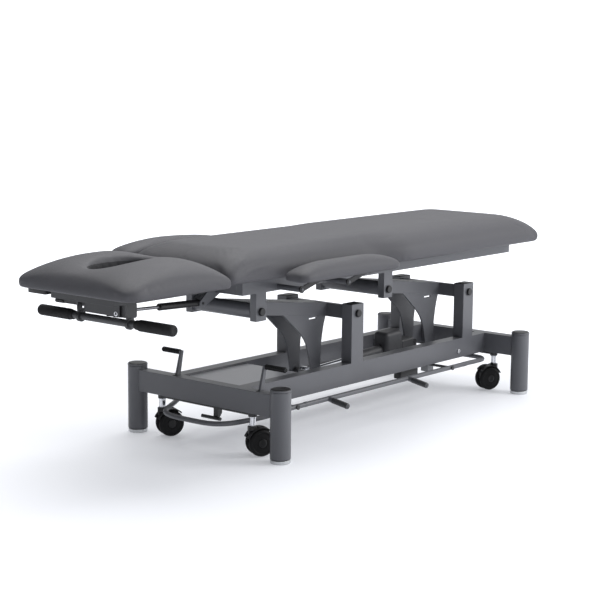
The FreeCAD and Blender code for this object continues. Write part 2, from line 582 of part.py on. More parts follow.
# ---------------------------------------------------------------- armrests
def armrest(deg, g, side):
    # deg is the elevation of the swing links, measured from +X towards +Z
    dx, dz = LINK_R * math.cos(math.radians(deg)), LINK_R * math.sin(math.radians(deg))
    fx, fz = LINK_XF + dx, LINK_Z + dz
    rx = LINK_XR + dx
    cx = (fx + rx) / 2.0 - 59.0
    z0 = fz + 12.0
    out = {}
    for nm, x in (("front", LINK_XF), ("rear", LINK_XR)):
        lk = box(0.0, LINK_R, 240.0, 245.0, -8.0, 8.0)
        lk = lk.fuse(cyly(0, 0, 240.0, 245.0, 11.0)).fuse(cyly(LINK_R, 0, 240.0, 245.0, 11.0))
        lk = lk.cut(cyly(0, 0, 230, 250, 5.08)).cut(cyly(LINK_R, 0, 230, 250, 5.08 if nm == "front" else 5.2))
        lk.rotate(V(0, 0, 0), V(0, 1, 0), -deg)
        lk.translate(V(x, 0, LINK_Z))
        out["armrest_link_%s_%s" % (nm, side)] = lk
    pl = box(fx - 40, rx + 40, 248.0, 325.0, z0 - 4.0, z0)
    for x, rr in ((fx, 5.0), (rx, 4.8)):
        ear = box(x - 11, x + 11, 248.0, 253.0, fz, z0 - 4.0).fuse(cyly(x, fz, 248.0, 253.0, 11.0))
        ear = ear.fuse(cyly(x, fz, 239.0, 250.0, rr))
        pl = pl.fuse(ear)
    out["armrest_plate_" + side] = pl.removeSplitter()
    def pad_plan(i):
        hx, y0, y1 = 245.0 - 3.0 * i, 236.0 + i, 341.0 - i
        r = min(30.0 + i, (y1 - y0) / 2 - 2.0)
        pts = []
        for qx, qy, a0 in ((cx + hx - r, y0 + r, -90), (cx + hx - r, y1 - r, 0), (cx - hx + r, y1 - r, 90), (cx - hx + r, y0 + r, 180)):
            for k in range(7):
                t = math.radians(a0 + 15 * k)
                pts.append((qx + r * math.cos(t), qy + r * math.sin(t)))
        return pts

    pad = dome(pad_plan, [(z0, 3.0), (z0 + 7, 0.0), (z0 + 16, 0.0), (z0 + 29, 8.0), (z0 + 40, 19.0), (z0 + 47, 30.0), (z0 + 51, 42.0)])
    out["armrest_pad_" + side] = pad
    for k, v in out.items():
        save(k, v if g > 0 else mirror(v))


armrest(LINK_LOW, -1, "right")
armrest(LINK_UP, 1, "left")
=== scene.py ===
import bpy, bmesh, math
import numpy as np
from mathutils import Matrix, Vector


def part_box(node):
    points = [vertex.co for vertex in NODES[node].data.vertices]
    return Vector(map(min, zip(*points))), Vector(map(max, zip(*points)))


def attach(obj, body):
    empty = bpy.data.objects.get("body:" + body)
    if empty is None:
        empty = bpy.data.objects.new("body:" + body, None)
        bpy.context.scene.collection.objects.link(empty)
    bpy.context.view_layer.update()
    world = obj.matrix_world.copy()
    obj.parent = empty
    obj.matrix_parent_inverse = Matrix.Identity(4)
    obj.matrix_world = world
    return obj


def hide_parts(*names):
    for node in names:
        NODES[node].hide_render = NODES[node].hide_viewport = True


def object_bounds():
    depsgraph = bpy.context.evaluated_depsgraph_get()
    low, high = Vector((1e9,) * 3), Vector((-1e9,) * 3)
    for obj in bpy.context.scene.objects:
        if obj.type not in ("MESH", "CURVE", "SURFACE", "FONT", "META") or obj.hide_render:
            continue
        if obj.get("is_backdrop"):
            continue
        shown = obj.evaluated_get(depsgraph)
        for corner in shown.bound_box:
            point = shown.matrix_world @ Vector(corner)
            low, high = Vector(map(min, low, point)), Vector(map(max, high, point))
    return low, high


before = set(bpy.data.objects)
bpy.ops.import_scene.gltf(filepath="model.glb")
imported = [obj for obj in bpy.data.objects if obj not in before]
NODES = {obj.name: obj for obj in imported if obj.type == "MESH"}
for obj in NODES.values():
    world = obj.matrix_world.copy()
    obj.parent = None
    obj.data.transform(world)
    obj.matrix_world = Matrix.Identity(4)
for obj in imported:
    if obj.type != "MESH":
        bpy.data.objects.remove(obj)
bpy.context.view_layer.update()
SC = bpy.context.scene
SC.view_settings.view_transform = "Standard"
SC.view_settings.look = "None"


# ------------------------------------------------------------------ helpers
def link(o):
    SC.collection.objects.link(o)
    return o


def mesh_obj(name, verts, faces, smooth=True):
    me = bpy.data.meshes.new(name)
    me.from_pydata([tuple(map(float, v)) for v in verts], [], faces)
    me.validate()
    if smooth:
        me.polygons.foreach_set("use_smooth", [True] * len(me.polygons))
    o = link(bpy.data.objects.new(name, me))
    return o


def frame_axes(d):
    d = Vector(d).normalized()
    h = Vector((0, 0, 1)) if abs(d.z) < 0.9 else Vector((1, 0, 0))
    u = d.cross(h).normalized()
    v = d.cross(u).normalized()
    return d, u, v


def lathe(name, origin, axis, profile, seg=48, caps=True):
    # profile: list of (distance along the axis, radius)
    d, u, v = frame_axes(axis)
    o = Vector(origin)
    verts, faces = [], []
    n = len(profile)
    for h, r in profile:
        for k in range(seg):
            a = 2 * math.pi * k / seg
            verts.append(o + d * h + (u * math.cos(a) + v * math.sin(a)) * r)
    for i in range(n - 1):
        for k in range(seg):
            k2 = (k + 1) % seg
            faces.append((i * seg + k, i * seg + k2, (i + 1) * seg + k2, (i + 1) * seg + k))
    if caps:
        faces.append(tuple(reversed(range(seg))))
        faces.append(tuple((n - 1) * seg + k for k in range(seg)))
    ob = mesh_obj(name, verts, faces)
    bm = bmesh.new()
    bm.from_mesh(ob.data)
    bmesh.ops.recalc_face_normals(bm, faces=bm.faces)
    bm.to_mesh(ob.data)
    bm.free()
    sharp(ob, 35)
    return ob


def sharp(ob, deg):
    me = ob.data
    me.polygons.foreach_set("use_smooth", [True] * len(me.polygons))
    me.set_sharp_from_angle(angle=math.radians(deg))


def arc_pts(c0, c1, r, a0, a1, n=6):
    return [(c0 + r * math.sin(math.radians(a0 + (a1 - a0) * i / n)),
             c1 + r * math.cos(math.radians(a0 + (a1 - a0) * i / n))) for i in range(n + 1)]


def rbox(name, lo, hi, r=0.002, seg=3, rot=None):
    bm = bmesh.new()
    bmesh.ops.create_cube(bm, size=1.0)
    lo, hi = Vector(lo), Vector(hi)
    c, s = (lo + hi) / 2, hi - lo
    for v in bm.verts:
        v.co = Vector((v.co.x * s.x, v.co.y * s.y, v.co.z * s.z))
    bmesh.ops.bevel(bm, geom=list(bm.edges), offset=r, segments=seg, profile=0.5, affect="EDGES")
    if rot is not None:
        bmesh.ops.transform(bm, matrix=rot.to_4x4(), verts=bm.verts)
    for v in bm.verts:
        v.co += c
    me = bpy.data.meshes.new(name)
    bm.to_mesh(me)
    bm.free()
    o = link(bpy.data.objects.new(name, me))
    sharp(o, 30)
    return o


def prism(name, pts, axis, lo, hi, r=0.0015):
    # polygon pts in the plane normal to axis ("x","y","z"), extruded lo..hi, edges rounded
    bm = bmesh.new()

    def P(a, b, c):
        return {"y": (a, c, b), "x": (c, a, b), "z": (a, b, c)}[axis]
    v0 = [bm.verts.new(P(a, b, lo)) for a, b in pts]
    v1 = [bm.verts.new(P(a, b, hi)) for a, b in pts]
    n = len(pts)
    bm.faces.new(v0)
    bm.faces.new(list(reversed(v1)))
    for i in range(n):
        bm.faces.new((v0[i], v0[(i + 1) % n], v1[(i + 1) % n], v1[i]))
    bmesh.ops.recalc_face_normals(bm, faces=bm.faces)
    if r:
        bmesh.ops.bevel(bm, geom=list(bm.edges), offset=r, segments=2, profile=0.5, affect="EDGES", clamp_overlap=True)
    me = bpy.data.meshes.new(name)
    bm.to_mesh(me)
    bm.free()
    o = link(bpy.data.objects.new(name, me))
    sharp(o, 30)
    return o


def tube_curve(name, pts, r, res=8, bez=True):
    cu = bpy.data.curves.new(name, "CURVE")
    cu.dimensions = "3D"
    sp = cu.splines.new("NURBS")
    sp.points.add(len(pts) - 1)
    for p, q in zip(sp.points, pts):
        p.co = (*q, 1.0)
    sp.order_u = 3
    sp.use_endpoint_u = True
    sp.resolution_u = 8
    cu.bevel_depth = r
    cu.bevel_resolution = res
    cu.use_fill_caps = True
    tmp = link(bpy.data.objects.new(name + "_c", cu))
    bpy.context.view_layer.update()
    me = bpy.data.meshes.new_from_object(tmp.evaluated_get(bpy.context.evaluated_depsgraph_get()))
    bpy.data.objects.remove(tmp)
    bpy.data.curves.remove(cu)
    me.name = name
    o = link(bpy.data.objects.new(name, me))
    sharp(o, 40)
    return o


def dress(o, material, slot, body=None, *nodes):
    o.data.materials.clear()
    o.data.materials.append(material)
    if body:
        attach(o, body)
    if nodes:
        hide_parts(*nodes)
    return o


# ------------------------------------------------------------------ materials
def material(name, base, rough=0.45, metallic=0.0, var=0.06, var_scale=9.0, mottle=0.03, mottle_scale=160.0,
             rvar=0.08, bump_scale=700.0, bump=0.15, bump_dist=0.0002, wear_and_edge_highlight=None, wear_and_edge_highlight_amt=0.5, edge_r=0.0015,
             grain=None, sheen=0.0, coat=0.0, spec=0.5, soft=None, dust=0.0):
    m = bpy.data.materials.new(name)
    m.use_nodes = True
    nt = m.node_tree
    N, L = nt.nodes, nt.links
    N.clear()
    out = N.new("ShaderNodeOutputMaterial")
    b = N.new("ShaderNodeBsdfPrincipled")
    L.new(b.outputs[0], out.inputs[0])
    b.inputs["Metallic"].default_value = metallic
    b.inputs["Sheen Weight"].default_value = sheen
    b.inputs["Coat Weight"].default_value = coat
    b.inputs["Coat Roughness"].default_value = 0.35
    b.inputs["Specular IOR Level"].default_value = spec
    tc = N.new("ShaderNodeTexCoord")
    co = tc.outputs["Object"]

    def noise(scale, detail=3.0, rg=0.55, dist=0.0):
        n = N.new("ShaderNodeTexNoise")
        n.inputs["Scale"].default_value = scale
        n.inputs["Detail"].default_value = detail
        n.inputs["Roughness"].default_value = rg
        n.inputs["Distortion"].default_value = dist
        L.new(co, n.inputs["Vector"])
        return n.outputs["Fac"]

    def maprange(src, a, bb, c, d):
        r = N.new("ShaderNodeMapRange")
        r.inputs["From Min"].default_value = a
        r.inputs["From Max"].default_value = bb
        r.inputs["To Min"].default_value = c
        r.inputs["To Max"].default_value = d
        L.new(src, r.inputs["Value"])
        return r.outputs["Result"]

    def mixc(fac, c1, c2, mode="MIX"):
        x = N.new("ShaderNodeMix")
        x.data_type = "RGBA"
        x.blend_type = mode
        if isinstance(fac, float):
            x.inputs[0].default_value = fac
        else:
            L.new(fac, x.inputs[0])
        for i, c in ((6, c1), (7, c2)):
            if hasattr(c, "links"):
                L.new(c, x.inputs[i])
            else:
                x.inputs[i].default_value = (*c, 1.0)
        return x.outputs[2]

    def math_(op, a, c):
        x = N.new("ShaderNodeMath")
        x.operation = op
        for i, q in ((0, a), (1, c)):
            if isinstance(q, (int, float)):
                x.inputs[i].default_value = q
            else:
                L.new(q, x.inputs[i])
        return x.outputs[0]

    big = noise(var_scale, 4.0)
    dark = tuple(c * (1 - var) for c in base)
    lite = tuple(min(1.0, c * (1 + var)) for c in base)
    col = mixc(maprange(big, 0.3, 0.7, 0.0, 1.0), dark, lite)
    fine = noise(mottle_scale, 5.0, 0.6)
    fd = tuple(1 - mottle for _ in base)
    fl = tuple(1 + mottle for _ in base)
    col = mixc(1.0, col, mixc(maprange(fine, 0.3, 0.7, 0.0, 1.0), fd, fl), "MULTIPLY")
    rgh = maprange(math_("ADD", math_("MULTIPLY", big, 0.5), math_("MULTIPLY", fine, 0.5)), 0.3, 0.7,
                   max(0.03, rough - rvar), min(1.0, rough + rvar))
    # rounded edge normal, and a lighter colour along the edges, broken up by noise: partly edge wear, partly painted
    # edge highlight
    bev = N.new("ShaderNodeBevel")
    bev.samples = 4
    bev.inputs["Radius"].default_value = edge_r
    geo = N.new("ShaderNodeNewGeometry")
    if wear_and_edge_highlight is not None:
        dot = N.new("ShaderNodeVectorMath")
        dot.operation = "DOT_PRODUCT"
        L.new(bev.outputs[0], dot.inputs[0])
        L.new(geo.outputs["Normal"], dot.inputs[1])
        edge = maprange(dot.outputs["Value"], 0.995, 0.8, 0.0, 1.0)
        scr = maprange(noise(55.0, 6.0, 0.7, 0.6), 0.47, 0.62, 0.0, 1.0)
        wm = math_("MULTIPLY", math_("MULTIPLY", edge, scr), wear_and_edge_highlight_amt)
        col = mixc(wm, col, wear_and_edge_highlight)
        rgh = math_("SUBTRACT", rgh, math_("MULTIPLY", wm, 0.12))
    if dust > 0:
        sep = N.new("ShaderNodeSeparateXYZ")
        L.new(geo.outputs["Normal"], sep.inputs[0])
        up = maprange(sep.outputs["Z"], 0.6, 1.0, 0.0, dust)
        dm = math_("MULTIPLY", up, maprange(noise(23.0, 5.0, 0.65), 0.35, 0.7, 0.0, 1.0))
        col = mixc(dm, col, (0.34, 0.33, 0.32))
    L.new(col, b.inputs["Base Color"])
    L.new(rgh, b.inputs["Roughness"])
    # surface relief
    h = noise(bump_scale, 3.0)
    if grain:
        v = N.new("ShaderNodeTexVoronoi")
        v.feature = "DISTANCE_TO_EDGE"
        v.inputs["Scale"].default_value = grain
        w = N.new("ShaderNodeVectorMath")
        w.operation = "ADD"
        nz = N.new("ShaderNodeTexNoise")
        nz.inputs["Scale"].default_value = grain * 0.45
        L.new(co, nz.inputs["Vector"])
        sc_ = N.new("ShaderNodeVectorMath")
        sc_.operation = "SCALE"
        sc_.inputs["Scale"].default_value = 1.3 / grain
        L.new(nz.outputs["Color"], sc_.inputs[0])
        L.new(co, w.inputs[0])
        L.new(sc_.outputs[0], w.inputs[1])
        L.new(w.outputs[0], v.inputs["Vector"])
        cell = maprange(v.outputs["Distance"], 0.0, 0.12, 0.0, 1.0)
        h = math_("ADD", math_("MULTIPLY", h, 0.35), cell)
    bp = N.new("ShaderNodeBump")
    bp.inputs["Strength"].default_value = bump
    bp.inputs["Distance"].default_value = bump_dist
    L.new(h, bp.inputs["Height"])
    L.new(bev.outputs[0], bp.inputs["Normal"])
    last = bp
    if soft:
        bp2 = N.new("ShaderNodeBump")
        bp2.inputs["Strength"].default_value = 0.5
        bp2.inputs["Distance"].default_value = soft
        L.new(noise(11.0, 2.0, 0.4), bp2.inputs["Height"])
        L.new(bp.outputs[0], bp2.inputs["Normal"])
        last = bp2
    L.new(last.outputs[0], b.inputs["Normal"])
    return m


VINYL = material("vinyl_anthracite", (0.072, 0.0716, 0.079), rough=0.54, var=0.05, var_scale=5.0, mottle=0.05,
                 mottle_scale=420.0, rvar=0.06, bump_scale=1500.0, bump=0.35, bump_dist=0.00025, grain=820.0,
                 spec=0.26, edge_r=0.003, soft=0.0012)
# painted shade: a darker copy of the vinyl for the shaded wall of the face opening
VINYL_PAINTED_SHADE = material("vinyl_painted_shade", (0.030, 0.030, 0.033), rough=0.6, var=0.05, var_scale=5.0, mottle=0.05,
                    mottle_scale=420.0, rvar=0.06, bump_scale=1500.0, bump=0.35, bump_dist=0.00025, grain=820.0, spec=0.2)
PAINT = material("powder_coat", (0.090, 0.0925, 0.103), rough=0.40, var=0.05, mottle=0.05, mottle_scale=600.0,
                 rvar=0.06, bump_scale=1300.0, bump=0.28, bump_dist=0.0002, wear_and_edge_highlight=(0.27, 0.275, 0.29), wear_and_edge_highlight_amt=0.42,
                 edge_r=0.0022, dust=0.05)
PAINT_DK = material("powder_coat_dark", (0.026, 0.0265, 0.029), rough=0.45, var=0.07, mottle=0.06, mottle_scale=500.0,
                    bump_scale=1200.0, bump=0.25, wear_and_edge_highlight=(0.22, 0.22, 0.23), wear_and_edge_highlight_amt=0.5, edge_r=0.0015, dust=0.04)
PLASTIC = material("black_plastic", (0.012, 0.012, 0.013), spec=0.35, rough=0.40, var=0.12, mottle=0.10, mottle_scale=800.0,
                   bump_scale=1600.0, bump=0.3, bump_dist=0.00015, wear_and_edge_highlight=(0.11, 0.11, 0.115), wear_and_edge_highlight_amt=0.5, edge_r=0.0012)
MOTOR = material("motor_plastic", (0.040, 0.041, 0.045), rough=0.5, var=0.08, mottle=0.08, mottle_scale=900.0,
                 bump_scale=1500.0, bump=0.4, bump_dist=0.0002, wear_and_edge_highlight=(0.14, 0.14, 0.15), wear_and_edge_highlight_amt=0.4, edge_r=0.002, dust=0.08)
RUBBER = material("rubber", (0.007, 0.007, 0.0075), spec=0.2, rough=0.6, var=0.14, mottle=0.12, mottle_scale=500.0,
                  bump_scale=900.0, bump=0.35, bump_dist=0.0003, wear_and_edge_highlight=(0.10, 0.10, 0.10), wear_and_edge_highlight_amt=0.5, edge_r=0.001)
FOAM = material("grip_foam", (0.014, 0.014, 0.015), spec=0.25, rough=0.72, var=0.12, mottle=0.15, mottle_scale=900.0,
                bump_scale=1400.0, bump=0.6, bump_dist=0.0004, grain=None, wear_and_edge_highlight=(0.09, 0.09, 0.09), wear_and_edge_highlight_amt=0.5, edge_r=0.001)
ZINC = material("bright_steel", (0.62, 0.63, 0.65), rough=0.28, metallic=1.0, var=0.06, mottle=0.06, mottle_scale=700.0,
                rvar=0.07, bump_scale=2200.0, bump=0.12, bump_dist=0.0001, wear_and_edge_highlight=(0.8, 0.8, 0.8), wear_and_edge_highlight_amt=0.3, edge_r=0.001)
DISC = material("zinc_disc", (0.55, 0.56, 0.57), rough=0.36, metallic=0.9, var=0.08, mottle=0.10, mottle_scale=300.0,
                rvar=0.09, bump_scale=1500.0, bump=0.2, bump_dist=0.00015, wear_and_edge_highlight=(0.75, 0.75, 0.75), wear_and_edge_highlight_amt=0.4, edge_r=0.001)
CHROME = material("chrome_stem", (0.66, 0.67, 0.70), rough=0.16, metallic=1.0, var=0.04, mottle=0.04, mottle_scale=500.0,
                  rvar=0.05, bump_scale=2000.0, bump=0.05, bump_dist=0.0001, wear_and_edge_highlight=(0.8, 0.8, 0.8), wear_and_edge_highlight_amt=0.3, edge_r=0.0008)
BOARD = material("board_cloth", (0.018, 0.018, 0.019), rough=0.85, var=0.15, mottle=0.25, mottle_scale=1100.0,
                 bump_scale=1500.0, bump=0.7, bump_dist=0.0004, sheen=0.2, wear_and_edge_highlight=(0.05, 0.05, 0.05), wear_and_edge_highlight_amt=0.4, edge_r=0.001)
GREY = material("grey_housing", (0.19, 0.195, 0.205), rough=0.5, var=0.06, mottle=0.06, mottle_scale=700.0,
                bump_scale=1300.0, bump=0.3, wear_and_edge_highlight=(0.35, 0.35, 0.36), wear_and_edge_highlight_amt=0.4, edge_r=0.002, dust=0.05)
NICKEL = material("dark_nickel", (0.22, 0.22, 0.235), rough=0.3, metallic=1.0, var=0.06, mottle=0.06, mottle_scale=600.0,
                  bump_scale=1800.0, bump=0.1, bump_dist=0.0001, wear_and_edge_highlight=(0.4, 0.4, 0.4), wear_and_edge_highlight_amt=0.3, edge_r=0.0008)
TRAYM = material("tray_coat", (0.34, 0.345, 0.37), rough=0.34, var=0.04, mottle=0.04, mottle_scale=500.0, rvar=0.05,
                 bump_scale=1100.0, bump=0.2, wear_and_edge_highlight=(0.42, 0.42, 0.44), wear_and_edge_highlight_amt=0.4, edge_r=0.0012, dust=0.05)
# painted shade: near-black for shadow gaps
DARKIN = material("shadow_gap", (0.012, 0.012, 0.013), rough=0.6, var=0.1, mottle=0.1, bump=0.3)

NODE_MAT = {}
for n in NODES:
    m, s = PAINT, "frame_paint"
    if n.startswith("foot_disc"):
        m, s = DISC, "disc_steel"
    elif n.startswith(("castor_fork",)):
        m, s = PLASTIC, "black_plastic"
    elif n.startswith("castor_wheels"):
        m, s = RUBBER, "rubber_black"
    elif n.startswith("castor_carrier"):
        m, s = PAINT_DK, "stem_chrome"
    elif n == "tray_plate":
        m, s = TRAYM, "frame_paint"
    elif n.startswith("castor_levers"):
        m, s = PAINT, "dark_steel"
    elif n.startswith(("armrest_link", "armrest_plate")):
        m, s = PLASTIC, "dark_steel"
    elif n.startswith(("actuator_mount", "tie_rod", "foot_bar_yoke", "head_frame", "latch_box",
                       "release_lever")):
        m, s = PAINT_DK, "dark_steel"
    elif n.endswith("_caps") or n == "gas_spring_cylinder":
        m, s = PLASTIC, "black_plastic"
    elif n == "actuator_body":
        m, s = MOTOR, "black_plastic"
    elif n == "gas_spring_rod":
        m, s = NICKEL, "stem_chrome"
    elif n == "handlebar":
        m, s = MOTOR, "frame_paint"
    elif n == "actuator_rod":
        m, s = CHROME, "stem_chrome"
    elif n.endswith("_board"):
        m, s = BOARD, "board_black"
    elif n.endswith("_cushion") or n.startswith("armrest_pad"):
        m, s = VINYL, "upholstery"
    elif n.startswith("grip"):
        m, s = FOAM, "rubber_black"
    o = NODES[n]
    o.data.materials.clear()
    o.data.materials.append(m)


# ------------------------------------------------------------------ padded upholstery
def sup(d, R, p=2.0, q=0.5):
    x = np.clip(d / R, 0.0, 1.0)
    return np.clip(1.0 - (1.0 - x) ** p, 0.0, 1.0) ** q


def pad_mesh(name, x0, x1, half, yc, zb, ze, ztop, r0, r1, ns, nt, ends, side, crown=0.0, extra=None):
    """Crowned closed pad. half(x): half width. ends: ((R, p) at x0, (R, p) at x1). side: R of the long sides."""
    xc, a = (x0 + x1) / 2, (x1 - x0) / 2
    s = np.sin(np.linspace(-1, 1, ns) * math.pi / 2)
    t = np.sin(np.linspace(-1, 1, nt) * math.pi / 2)
    # spread the samples more evenly along the middle
    s = 0.55 * s + 0.45 * np.linspace(-1, 1, ns)
    t = 0.65 * t + 0.35 * np.linspace(-1, 1, nt)
    S, T = np.meshgrid(s, t, indexing="ij")
    X = xc + a * S
    W = half(X)
    Y = W * T
    r = np.where(S < 0, r0, r1)
    dx = np.abs(X - xc) - (a - r)
    dy = np.abs(Y) - (W - r)
    m = (dx > 0) & (dy > 0)
    u, v = np.clip(dx / r, 0, 1), np.clip(dy / r, 0, 1)
    X2 = np.where(m, xc + np.sign(S) * (a - r + r * u * np.sqrt(1 - v * v / 2)), X)
    Y2 = np.where(m, np.sign(T) * (W - r + r * v * np.sqrt(1 - u * u / 2)), Y)
    d0, d1 = X - x0, x1 - X
    ds = W * (1 - np.abs(T))
    sr = side[0](X) if callable(side[0]) else side[0]
    g = sup(d0, *ends[0]) * sup(d1, *ends[1]) * sup(ds, sr, side[1])
    Z = ze + (ztop - ze) * g + crown * (1 - T ** 2) * np.clip(1 - S ** 4, 0, 1)
    if extra is not None:
        Z = extra(X2, Y2, Z)
    verts = [(x, y + yc, z) for x, y, z in zip(X2.ravel(), Y2.ravel(), Z.ravel())]
    idx = lambda i, j: i * nt + j
    faces = [(idx(i, j), idx(i + 1, j), idx(i + 1, j + 1), idx(i, j + 1)) for i in range(ns - 1) for j in range(nt - 1)]
    loop = [idx(i, 0) for i in range(ns)] + [idx(ns - 1, j) for j in range(1, nt)] + \
           [idx(i, nt - 1) for i in range(ns - 2, -1, -1)] + [idx(0, j) for j in range(nt - 2, 0, -1)]
    B = np.array([(verts[k][0], verts[k][1] - yc) for k in loop])
    tan = np.roll(B, -1, 0) - np.roll(B, 1, 0)
    nrm = np.stack([tan[:, 1], -tan[:, 0]], 1)
    nrm /= np.maximum(np.linalg.norm(nrm, axis=1, keepdims=True), 1e-9)
    prev = loop
    hgt = ze - zb
    for inset, z in ((0.0, ze - 0.35 * hgt), (0.0004, ze - 0.6 * hgt), (0.0018, zb + 0.12 * hgt), (0.004, zb + 0.0006), (0.012, zb + 0.0002)):
        ring = []
        for (bx, by), (nx, ny) in zip(B, nrm):
            ring.append(len(verts))
            verts.append((bx - nx * inset, by - ny * inset + yc, z))
        n = len(loop)
        for k in range(n):
            faces.append((prev[k], ring[k], ring[(k + 1) % n], prev[(k + 1) % n]))
        prev = ring
    # bottom: the grid again, scaled a little, stitched to the last ring by index order
    base = len(verts)
    fx, fy = (a - 0.012) / a, 1.0
    for x, y, t_ in zip(X2.ravel(), Y2.ravel(), T.ravel()):
        verts.append((xc + (x - xc) * fx, y * (1 - 0.012 / max(0.05, float(half(np.array([x]))[0]))) + yc, zb))
    for i in range(ns - 1):
        for j in range(nt - 1):
            faces.append((base + idx(i, j), base + idx(i, j + 1), base + idx(i + 1, j + 1), base + idx(i + 1, j)))
    n = len(loop)
    for k in range(n):
        faces.append((prev[k], base + loop[k], base + loop[(k + 1) % n], prev[(k + 1) % n]))
    o = mesh_obj(name, verts, faces)
    bm = bmesh.new()
    bm.from_mesh(o.data)
    bmesh.ops.remove_doubles(bm, verts=bm.verts, dist=1e-6)
    bmesh.ops.recalc_face_normals(bm, faces=bm.faces)
    bm.to_mesh(o.data)
    bm.free()
    return o


def apply_mods(o):
    bpy.context.view_layer.update()
    dg = bpy.context.evaluated_depsgraph_get()
    me = bpy.data.meshes.new_from_object(o.evaluated_get(dg))
    old = o.data
    o.modifiers.clear()
    o.data = me
    bpy.data.meshes.remove(old)


def puff(o, voxel, pressure, cap, keep_below=None, frames=14):
    """Voxel remesh, inflate with a pressurised cloth, cap the movement and apply."""
    m = o.modifiers.new("rm", "REMESH")
    m.mode = "VOXEL"
    m.voxel_size = voxel
    m.use_smooth_shade = True
    sm = o.modifiers.new("sm", "CORRECTIVE_SMOOTH")
    sm.iterations = 6
    sm.smooth_type = "LENGTH_WEIGHTED"
    sm.use_only_smooth = True
    apply_mods(o)
    rest = np.zeros(len(o.data.vertices) * 3)
    o.data.vertices.foreach_get("co", rest)
    rest = rest.reshape(-1, 3)
    vg = o.vertex_groups.new(name="pin")
    if keep_below is not None:
        for i in np.nonzero(rest[:, 2] < keep_below)[0]:
            vg.add([int(i)], 1.0, "REPLACE")
    c = o.modifiers.new("cloth", "CLOTH")
    st = c.settings
    st.quality = 4
    st.mass = 0.4
    st.tension_stiffness = 18
    st.compression_stiffness = 12
    st.shear_stiffness = 8
    st.bending_stiffness = 1.2
    st.use_pressure = True
    st.uniform_pressure_force = pressure
    st.effector_weights.gravity = 0
    st.vertex_group_mass = "pin"
    c.collision_settings.use_collision = False
    c.point_cache.frame_start = 1
    c.point_cache.frame_end = frames
    for f in range(1, frames + 1):
        SC.frame_set(f)
    dg = bpy.context.evaluated_depsgraph_get()
    ev = o.evaluated_get(dg)
    co = np.zeros(len(ev.data.vertices) * 3)
    ev.data.vertices.foreach_get("co", co)
    co = co.reshape(-1, 3)
    o.modifiers.clear()
    SC.frame_set(1)
    d = co - rest
    ln = np.linalg.norm(d, axis=1, keepdims=True)
    d *= np.minimum(1.0, cap / np.maximum(ln, 1e-9))
    o.data.vertices.foreach_set("co", (rest + d).ravel())
    o.data.update()
    sm = o.modifiers.new("sm", "SMOOTH")
    sm.factor = 0.5
    sm.iterations = 2
    sub = o.modifiers.new("sub", "SUBSURF")
    sub.levels = sub.render_levels = 1
    apply_mods(o)
    o.vertex_groups.clear()
    o.data.polygons.foreach_set("use_smooth", [True] * len(o.data.polygons))


WA, WB = 0.230, 0.277


def main_half(x):
    t = np.clip((x - 0.06) / 0.17, 0, 1)
    return WA + (WB - WA) * t * t * (3 - 2 * t)


SHR = 0.0035     # the pads swell by about this much
main = pad_mesh("upholstery_main", -0.621 + SHR, 1.051 - SHR, lambda x: main_half(x) - SHR, 0.0, 0.5442, 0.566, 0.641 - SHR, 0.030, 0.034,
                170, 60, ((0.125, 2.0), (0.135, 2.0)), (lambda x: main_half(x) - 0.134, 2.1), crown=0.002)
HX, HA, HB = -0.848, 0.106, 0.063


def hole_dip(x, y, z):
    rho = np.sqrt(((x - HX) / HA) ** 2 + (y / HB) ** 2)
    d = (rho - 1.0) * 0.075
    return z - 0.013 * (1 - sup(d, 0.020, 2.0)) - 0.007 * np.exp(-np.clip(d, 0, None) / 0.06)


head = pad_mesh("upholstery_head", -1.051 + SHR, -0.632 - SHR, lambda x: 0.250 - SHR + 0.030 * np.clip(x + 1.04, 0, 1), 0.0, 0.5442, 0.566, 0.641 - SHR, 0.046, 0.022,
                110, 110, ((0.235, 1.95), (0.15, 2.0)), (0.160, 2.05), crown=0.0, extra=hole_dip)
cut = lathe("hole_cutter", (HX, 0, 0.50), (0, 0, 1), [(0.0, 1.0), (0.2, 1.0)], 72)
cut.data.transform(Matrix.Translation((HX, 0, 0)) @ Matrix.Diagonal((HA, HB, 1.0, 1.0)) @ Matrix.Translation((-HX, 0, 0)))
bo = head.modifiers.new("hole", "BOOLEAN")
bo.operation = "DIFFERENCE"
bo.solver = "EXACT"
bo.object = cut
apply_mods(head)
bpy.data.objects.remove(cut)


def arm_pad(side):
    lo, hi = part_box("armrest_pad_" + side)
    zb = lo.z - 0.004
    yc = (lo.y + hi.y) / 2
    hw = (hi.y - lo.y) / 2 - SHR
    return pad_mesh("upholstery_armrest_" + side, lo.x - 0.010 + SHR, hi.x - SHR, lambda x: hw + 0 * x, yc, zb + 0.0002, zb + 0.017,
                    zb + 0.0585 - SHR - (0.002 if side == "left" else 0.0), 0.030, 0.030, 90, 40,
                    ((0.15, 1.9), (0.17, 1.9)) if side == "right" else ((0.20, 1.8), (0.30, 1.7)), (hw * 0.98, 2.0), crown=0.0)


pads = {s: arm_pad(s) for s in ("right", "left")}
puff(head, 0.0052, 3.0, 0.005, keep_below=0.5455)
puff(main, 0.0068, 3.0, 0.005, keep_below=0.5455)
for s in pads:
    puff(pads[s], 0.0045, 3.0, 0.004, keep_below=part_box("armrest_pad_" + s)[0].z - 0.0028)
dress(main, VINYL, "upholstery", "top_frame", "main_cushion")
dress(head, VINYL, "upholstery", "head_section", "head_cushion")
# the wall of the face opening is the same vinyl in its own shade; it gets a darker copy of the vinyl as painted shade
head.data.materials.append(VINYL_PAINTED_SHADE)
for pl in head.data.polygons:
    c = pl.center
    if c.z < 0.613 and ((c.x - HX) / (HA + 0.008)) ** 2 + (c.y / (HB + 0.008)) ** 2 < 1.0:
        pl.material_index = 1
for s in pads:
    dress(pads[s], VINYL, "upholstery", "armrest_" + s, "armrest_pad_" + s)

